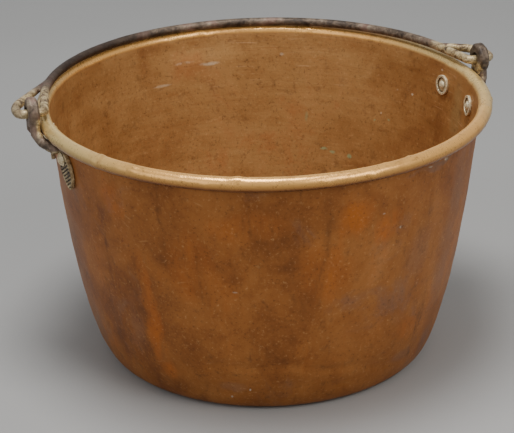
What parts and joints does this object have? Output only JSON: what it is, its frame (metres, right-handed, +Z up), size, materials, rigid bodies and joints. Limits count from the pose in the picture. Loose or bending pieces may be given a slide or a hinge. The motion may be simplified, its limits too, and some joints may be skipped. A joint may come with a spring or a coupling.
{
  "type": "copper kettle",
  "caption": "Open round copper cauldron with rolled rim, rounded heel and flat base, two riveted iron ears and a swinging iron bail lying back on the rim.",
  "frame": {"origin": "centre of the flat base, on the surface that the kettle stands on", "axes": "+X towards the right ear along the bail's pivot line, -Y towards the front, +Z up"},
  "size_m": [0.6208, 0.56, 0.3604],
  "materials": {
    "kettle_copper": "aged brown copper with a dull sheen, mottled orange and mauve",
    "rivet_copper": "worn pale copper",
    "ear_iron": "forged, dark brown, worn tan on the edges",
    "bail_iron": "forged, dark brown, worn tan at the eyes"
  },
  "bodies": {
    "kettle": {"kettle_body": "kettle_copper", "rim_wire": "ear_iron", "left_ear": "ear_iron", "right_ear": "ear_iron", "left_front_rivet": "rivet_copper", "left_rear_rivet": "rivet_copper", "right_front_rivet": "rivet_copper", "right_rear_rivet": "rivet_copper", "left_front_burr": "rivet_copper", "left_rear_burr": "rivet_copper", "right_front_burr": "rivet_copper", "right_rear_burr": "rivet_copper"},
    "bail": {"bail_handle": "bail_iron"}
  },
  "joints": [
    {"name": "bail_swing", "type": "hinge", "parent": "kettle", "child": "bail", "pos_m": [0, 0, 0.34], "axis": [1, 0, 0], "range_deg": [0, 181.8]}
  ]
}
